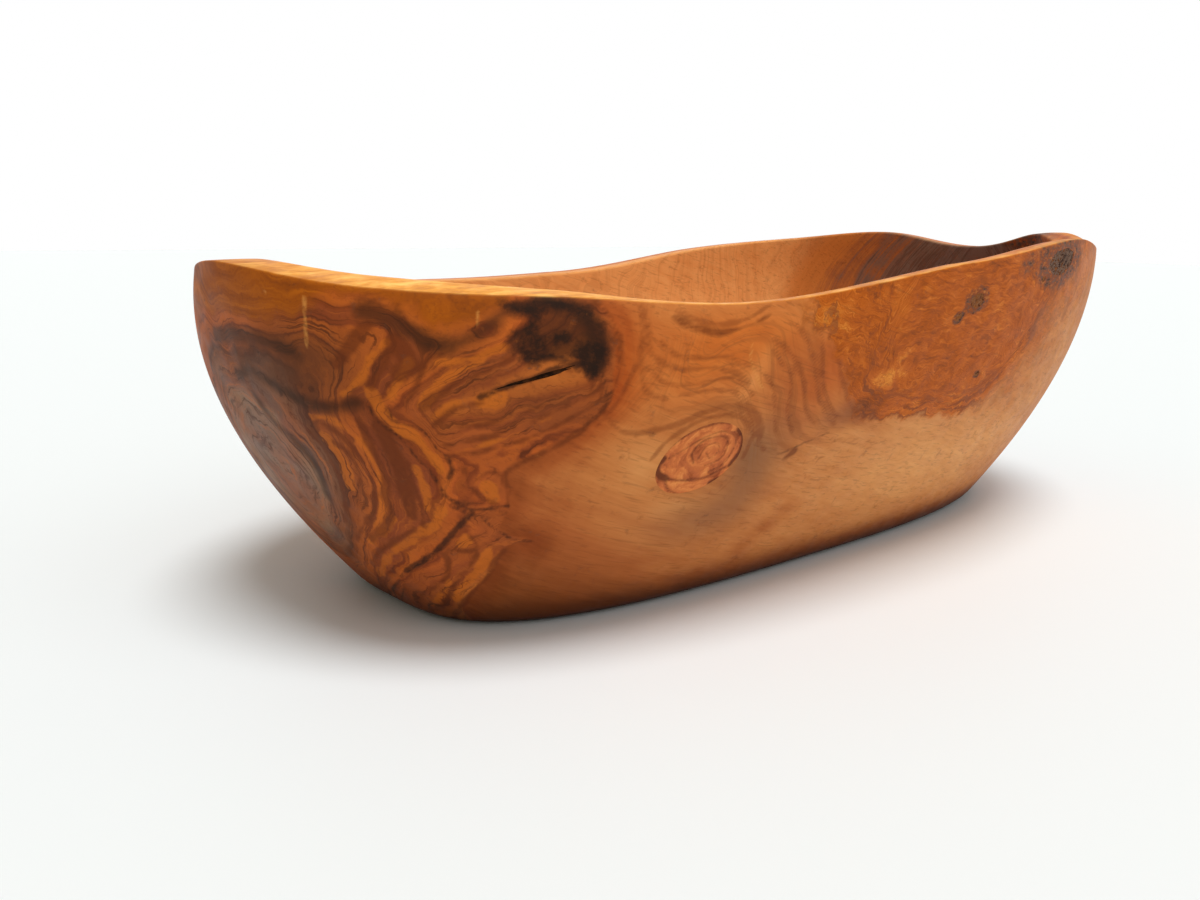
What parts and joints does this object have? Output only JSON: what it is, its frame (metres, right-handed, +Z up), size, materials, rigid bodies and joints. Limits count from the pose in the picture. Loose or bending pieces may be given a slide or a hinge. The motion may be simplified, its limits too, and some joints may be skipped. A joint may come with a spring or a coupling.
{
  "type": "wooden fruit bowl",
  "caption": "Oblong carved wooden fruit bowl with a waving bevelled rim, flared walls, a flat base and an open rounded hollow, with a knot and bark inlays in its near wall.",
  "frame": {"origin": "middle of the flat base, on the surface that the bowl stands on", "axes": "+X along the length to the fuller end, -Y out of the wall with the knot, +Z up"},
  "size_m": [0.3194, 0.1721, 0.0949],
  "materials": {
    "oiled_wood": "satin oiled",
    "knot_wood": "satin oiled",
    "bark": "rough"
  },
  "bodies": {
    "root": {"bowl_body": "oiled_wood", "side_knot": "knot_wood", "bark_seam": "bark", "corner_bark_eye": "bark", "upper_bark_eye": "bark", "pin_knot_high": "bark", "pin_knot_middle": "bark", "pin_knot_low": "bark"}
  },
  "joints": []
}
